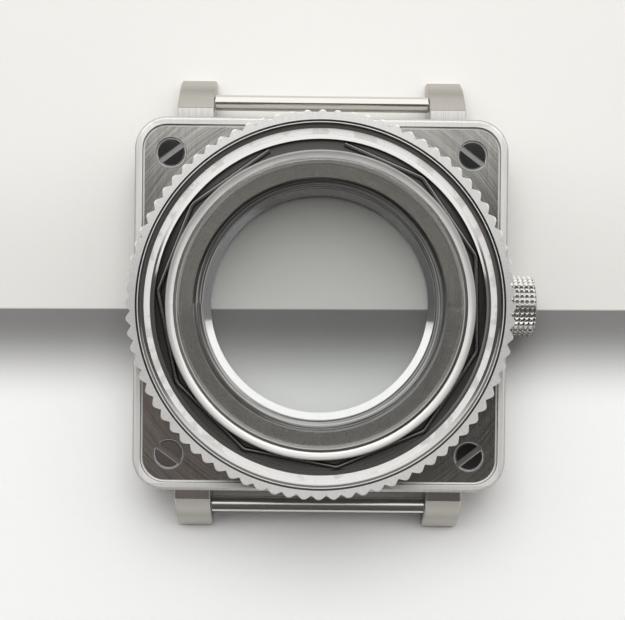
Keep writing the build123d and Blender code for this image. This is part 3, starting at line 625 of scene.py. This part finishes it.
def backFinish():
    look = backLook
    mat, tree, shader, where, (x, y, z) = newFinish("backSteel")
    radius = radiusOf(tree, x, y)
    grain = ringGrain(tree, x, y, z, look["ringWidth"], look["ringLength"])
    fine = ringGrain(tree, x, y, z, look["lineWidth"], look["lineLength"])
    bevelHeight = above(tree, z, look["bevelFrom"])
    bevel = times(tree, below(tree, radius, look["bevelRadius"]), bevelHeight)
    outer = below(tree, z, look["outerTo"])
    threadHeight = above(tree, z, look["threadFrom"])
    thread = times(tree, above(tree, radius, look["threadRadius"]), threadHeight)
    color = blendColor(tree, outer, look["flat"], look["outer"])
    color = blendColor(tree, ramp(tree, fine, *look["lineLevels"]), look["line"], color)
    give(tree, shader, "Base Color", blendColor(tree, bevel, color, look["bevel"]))
    outerRough = spread(tree, grain, *look["outerRough"])
    rough = blendValue(tree, outer, spread(tree, grain, *look["flatRough"]), outerRough)
    rough = blendValue(tree, bevel, rough, spread(tree, fine, *look["bevelRough"]))
    give(tree, shader, "Roughness", rough)
    flat = times(tree, outside(tree, bevel), above(tree, z, look["outerTo"]))
    give(tree, shader, "Metallic", blendValue(tree, flat, 1.0, look["flatMetal"]))
    ridge = threadRidge(tree, z, angleOf(tree, x, y), look["threadPitch"])
    threadLines = times(tree, times(tree, ridge, thread), look["threadRelief"])
    turned = times(tree, grain, blendValue(tree, bevel, look["flatRelief"], look["bevelRelief"]))
    height = plus(tree, threadLines, turned)
    addBump(tree, shader, height, look["relief"], look["reliefDepth"])
    return mat


dress("case_back", backFinish())


# crown tube with a fine thread, and the plain post inside it

tubeLook = {
    "color": (0.66, 0.66, 0.65), "rough": (0.2, 0.32), "pitch": 0.35 * mm,
    "threadFrom": 21.1 * mm, "threadTo": 23.25 * mm,
}
postLook = {
    "color": (0.66, 0.66, 0.65), "rough": (0.25, 0.37), "pitch": 0.25 * mm,
    "threadFrom": 0.0, "threadTo": 0.001 * mm,  # no thread: the post starts further out
}
tubeGrain = {
    "stretch": (14000, 1200, 1200), "dimShare": 0.85, "threadRelief": 5.0, "grainRelief": 0.3,
    "relief": 0.35, "reliefDepth": 0.03 * mm,
}


def threadedFinish(name, look):
    mat, tree, shader, where, (x, y, z) = newFinish(name)
    up = minus(tree, z, crownLook["axis"])
    ridge = threadRidge(tree, x, angleOf(tree, y, up), look["pitch"])
    ridge = times(tree, ridge, within(tree, x, look["threadFrom"], look["threadTo"]))
    grain = speckNoise(tree, stretched(tree, where, tubeGrain["stretch"]))
    color = blendColor(tree, grain, shade(look["color"], tubeGrain["dimShare"]), look["color"])
    give(tree, shader, "Base Color", color)
    give(tree, shader, "Roughness", spread(tree, grain, *look["rough"]))
    give(tree, shader, "Metallic", 1.0)
    ridge = times(tree, ridge, tubeGrain["threadRelief"])
    height = plus(tree, ridge, times(tree, grain, tubeGrain["grainRelief"]))
    addBump(tree, shader, height, tubeGrain["relief"], tubeGrain["reliefDepth"])
    return mat


dress("crown_tube", threadedFinish("tubeSteel", tubeLook))
dress("crown_post", threadedFinish("postSteel", postLook))


# strap bars: drawn and polished along their length

barLook = {
    "color": (0.72, 0.71, 0.68), "dimShare": 0.88, "rough": (0.18, 0.26),
    "stretch": (260, 15000, 15000), "relief": 0.06, "reliefDepth": 0.01 * mm,
}


def barFinish():
    look = barLook
    mat, tree, shader, where, _ = newFinish("barSteel")
    grain = speckNoise(tree, stretched(tree, where, look["stretch"]))
    color = blendColor(tree, grain, shade(look["color"], look["dimShare"]), look["color"])
    give(tree, shader, "Base Color", color)
    give(tree, shader, "Roughness", spread(tree, grain, *look["rough"]))
    give(tree, shader, "Metallic", 1.0)
    addBump(tree, shader, grain, look["relief"], look["reliefDepth"])
    return mat


barSteel = barFinish()
for end in ("upper", "lower"):
    for part in ("bar_tube", "bar_left_tip", "bar_right_tip"):
        dress(f"{end}_{part}", barSteel)


# clear crystal and window: light passes them without a hard shadow

glassLook = {
    "crystalTint": (0.98, 0.985, 0.99), "windowTint": (0.98, 0.982, 0.985),
    "clear": (0.96, 0.965, 0.96), "ior": 1.45, "film": 300.0, "rough": (0.0, 0.012),
}


def glassFinish(name, tint):
    look = glassLook
    mat, tree, shader, where, _ = newFinish(name)
    give(tree, shader, "Base Color", tint)
    give(tree, shader, "Transmission Weight", 1.0)
    give(tree, shader, "IOR", look["ior"])
    film = noise(tree, where, look["film"])
    give(tree, shader, "Roughness", spread(tree, film, *look["rough"]))
    clear = tree.nodes.new("ShaderNodeBsdfTransparent")
    put(tree, clear.inputs[0], look["clear"])
    path = tree.nodes.new("ShaderNodeLightPath").outputs
    passing = either(tree, path["Is Shadow Ray"], path["Is Diffuse Ray"])
    mix = tree.nodes.new("ShaderNodeMixShader")
    for socket, value in zip(mix.inputs, (passing, shader.outputs[0], clear.outputs[0])):
        put(tree, socket, value)
    out = next(n for n in tree.nodes if n.type == "OUTPUT_MATERIAL")
    put(tree, out.inputs["Surface"], mix.outputs[0])
    return mat


dress("crystal", glassFinish("crystalGlass", glassLook["crystalTint"]))
dress("back_crystal", glassFinish("windowGlass", glassLook["windowTint"]))


# gaskets: matte black rubber and grey nylon

nylonLook = {"color": (0.42, 0.41, 0.39), "rough": (0.42, 0.58)}
sealLook = {"color": (0.05, 0.05, 0.05), "rough": (0.47, 0.63)}
rubberLook = {"color": (0.02, 0.02, 0.02), "rough": (0.62, 0.78)}
gasketGrain = {"speck": 9000.0, "dimShare": 0.6, "relief": 0.2, "reliefDepth": 0.01 * mm}


def gasketFinish(name, look):
    mat, tree, shader, where, _ = newFinish(name)
    speck = speckNoise(tree, where, gasketGrain["speck"])
    color = blendColor(tree, speck, shade(look["color"], gasketGrain["dimShare"]), look["color"])
    give(tree, shader, "Base Color", color)
    give(tree, shader, "Roughness", spread(tree, speck, *look["rough"]))
    addBump(tree, shader, speck, gasketGrain["relief"], gasketGrain["reliefDepth"])
    return mat


rubber = gasketFinish("gasketRubber", rubberLook)
dress("crystal_gasket", gasketFinish("gasketNylon", nylonLook))
dress("back_crystal_gasket", gasketFinish("gasketSeal", sealLook))
dress("case_back_gasket", rubber)
dress("crown_gasket", rubber)
print("finishes set")


# floor: two pale sheets that meet under the case, both with painted shade towards the seam, a deep
# painted shadow on the lower one

floorLook = {
    "half": 0.6, "rough": 0.6, "shine": 0.2,
    "upper": (0.83, 0.82, 0.795), "upperSeamShade": (0.76, 0.75, 0.725), "upperShade": (0.0, 22 * mm),
    "lower": (0.96, 0.965, 0.96), "lowerSeamShadow": (0.205, 0.204, 0.202),
    "lowerShade": (-13.2 * mm, -1.0 * mm),
    "fleck": (0.5, 0.49, 0.47), "flecks": (0.06, 0.0), "paper": 900.0, "paperDetail": 4.0,
    "seam": -0.6 * mm, "seamSoft": 0.2 * mm, "seamTilt": -0.0072,
}


def makeFloor():
    look = floorLook
    bpy.ops.object.select_all(action="DESELECT")
    bpy.ops.mesh.primitive_plane_add(size=2 * look["half"], location=(0, 0, 0))
    floor = bpy.context.object
    floor.name = "floor"
    mat, tree, shader, where, (x, y, _) = newFinish("paleFloor")
    give(tree, shader, "Roughness", look["rough"])
    give(tree, shader, "Specular IOR Level", look["shine"])
    fromSeam = calc(tree, "MULTIPLY_ADD", x, look["seamTilt"], y)
    # painted shade: the upper sheet darker towards the seam
    shadeUp = ramp(tree, fromSeam, *look["upperShade"])
    upper = blendColor(tree, shadeUp, look["upperSeamShade"], look["upper"])
    # painted shadow: the lower sheet dark at the seam, as under a step
    shadeDown = ramp(tree, fromSeam, *look["lowerShade"])
    lower = blendColor(tree, shadeDown, look["lower"], look["lowerSeamShadow"])
    paper = noise(tree, where, look["paper"], look["paperDetail"])
    upperSide = above(tree, fromSeam, look["seam"], look["seamSoft"])
    color = blendColor(tree, upperSide, lower, upper)
    color = blendColor(tree, spread(tree, paper, *look["flecks"]), color, look["fleck"])
    give(tree, shader, "Base Color", color)
    floor.data.materials.append(mat)


makeFloor()


# studio: white behind 12 o'clock, dark overhead and towards 6 o'clock

lightLook = {
    "white": (1.0, 0.99, 0.97), "brightWhite": (1.42, 1.405, 1.38), "sky": (0.90, 0.91, 0.92),
    "topBlack": (0.010, 0.010, 0.011), "topGrey": (0.07, 0.068, 0.07),
    "topWarm": (0.25, 0.20, 0.185), "front": (0.116, 0.106, 0.099),
    "lowFront": (0.085, 0.079, 0.075), "leftGrey": (0.12, 0.12, 0.122),
    "rightGrey": (0.24, 0.24, 0.243),
    # where one tone goes over into the next, in directions from -1 to 1
    "greyAcross": (-0.2, 0.2), "frontUp": (0.45, 0.75), "sideFrom": (0.35, 0.6),
    "topAcross": (-0.09, 0.03), "topBack": (-0.06, 0.03),
    "topSides": (0.12, 0.24), "topFront": (-0.16, -0.09),
    "brightFrom": (0.11, 0.22), "whiteFrom": (0.098, 0.13),
}


def makeWorld():
    look = lightLook
    world = bpy.data.worlds.new("studio")
    bpy.context.scene.world = world
    world.use_nodes = True
    tree = world.node_tree
    background = next(n for n in tree.nodes if n.type == "BACKGROUND")
    x, y, z = splitUp(tree, tree.nodes.new("ShaderNodeTexCoord").outputs["Generated"])
    # grey to either side and dark towards 6 o'clock
    outX = calc(tree, "ABSOLUTE", x)
    toRight = ramp(tree, x, *look["greyAcross"])
    sides = blendColor(tree, toRight, look["leftGrey"], look["rightGrey"])
    front = blendColor(tree, ramp(tree, z, *look["frontUp"]), look["lowFront"], look["front"])
    dim = blendColor(tree, ramp(tree, outX, *look["sideFrom"]), front, sides)
    # the dark zone overhead: warm on its left, black on its right
    low = blendColor(tree, ramp(tree, x, *look["topAcross"]), look["topWarm"], look["topBlack"])
    overhead = blendColor(tree, ramp(tree, y, *look["topBack"]), low, look["topGrey"])
    middle = outside(tree, ramp(tree, outX, *look["topSides"]))
    zone = times(tree, middle, ramp(tree, y, *look["topFront"]))
    dim = blendColor(tree, zone, dim, overhead)
    bright = ramp(tree, y, *look["brightFrom"])
    white = blendColor(tree, bright, look["white"], look["brightWhite"])
    seen = blendColor(tree, ramp(tree, y, *look["whiteFrom"]), dim, white)
    path = tree.nodes.new("ShaderNodeLightPath").outputs
    shown = blendColor(tree, path["Is Camera Ray"], seen, look["sky"])
    put(tree, background.inputs["Color"], shown)
    put(tree, background.inputs["Strength"], 1.0)


makeWorld()

keyLook = {"size": 0.27, "power": 0.83, "place": (-0.01, 0.223, 0.344)}


def makeKey():
    bpy.ops.object.select_all(action="DESELECT")
    bpy.ops.object.light_add(type="AREA", location=keyLook["place"])
    key = bpy.context.object
    key.name = "keySoftbox"
    key.data.size = keyLook["size"]
    key.data.energy = keyLook["power"]
    # polished steel sees the white of the world there instead, also through the crystal
    key.visible_glossy = False
    key.visible_transmission = False
    key.rotation_euler = (-key.location).to_track_quat("-Z", "Y").to_euler()


makeKey()


# camera, straight above and slightly to the upper left, as in the photograph

cameraLook = {
    "from": (-2.4 * mm, 1.8 * mm, 169 * mm), "to": (-0.88 * mm, -0.57 * mm, 9 * mm), "roll": 0.6,
    "lens": 81.9, "sensor": 36, "clip": (0.005, 5.0),
}


def makeCamera():
    look = cameraLook
    data = bpy.data.cameras.new("camera")
    cam = bpy.data.objects.new("camera", data)
    bpy.context.scene.collection.objects.link(cam)
    start, target = Vector(look["from"]), Vector(look["to"])
    back = (start - target).normalized()
    right = Vector((0, 1, 0)).cross(back).normalized()
    turn = Matrix((right, back.cross(right), back)).transposed().to_4x4()
    roll = Matrix.Rotation(math.radians(look["roll"]), 4, "Z")
    cam.matrix_world = Matrix.Translation(start) @ turn @ roll
    data.lens = look["lens"]
    data.sensor_width = look["sensor"]
    data.clip_start, data.clip_end = look["clip"]
    bpy.context.scene.camera = cam


makeCamera()
bpy.context.scene.view_settings.view_transform = "Standard"
print("stage, light and camera set")
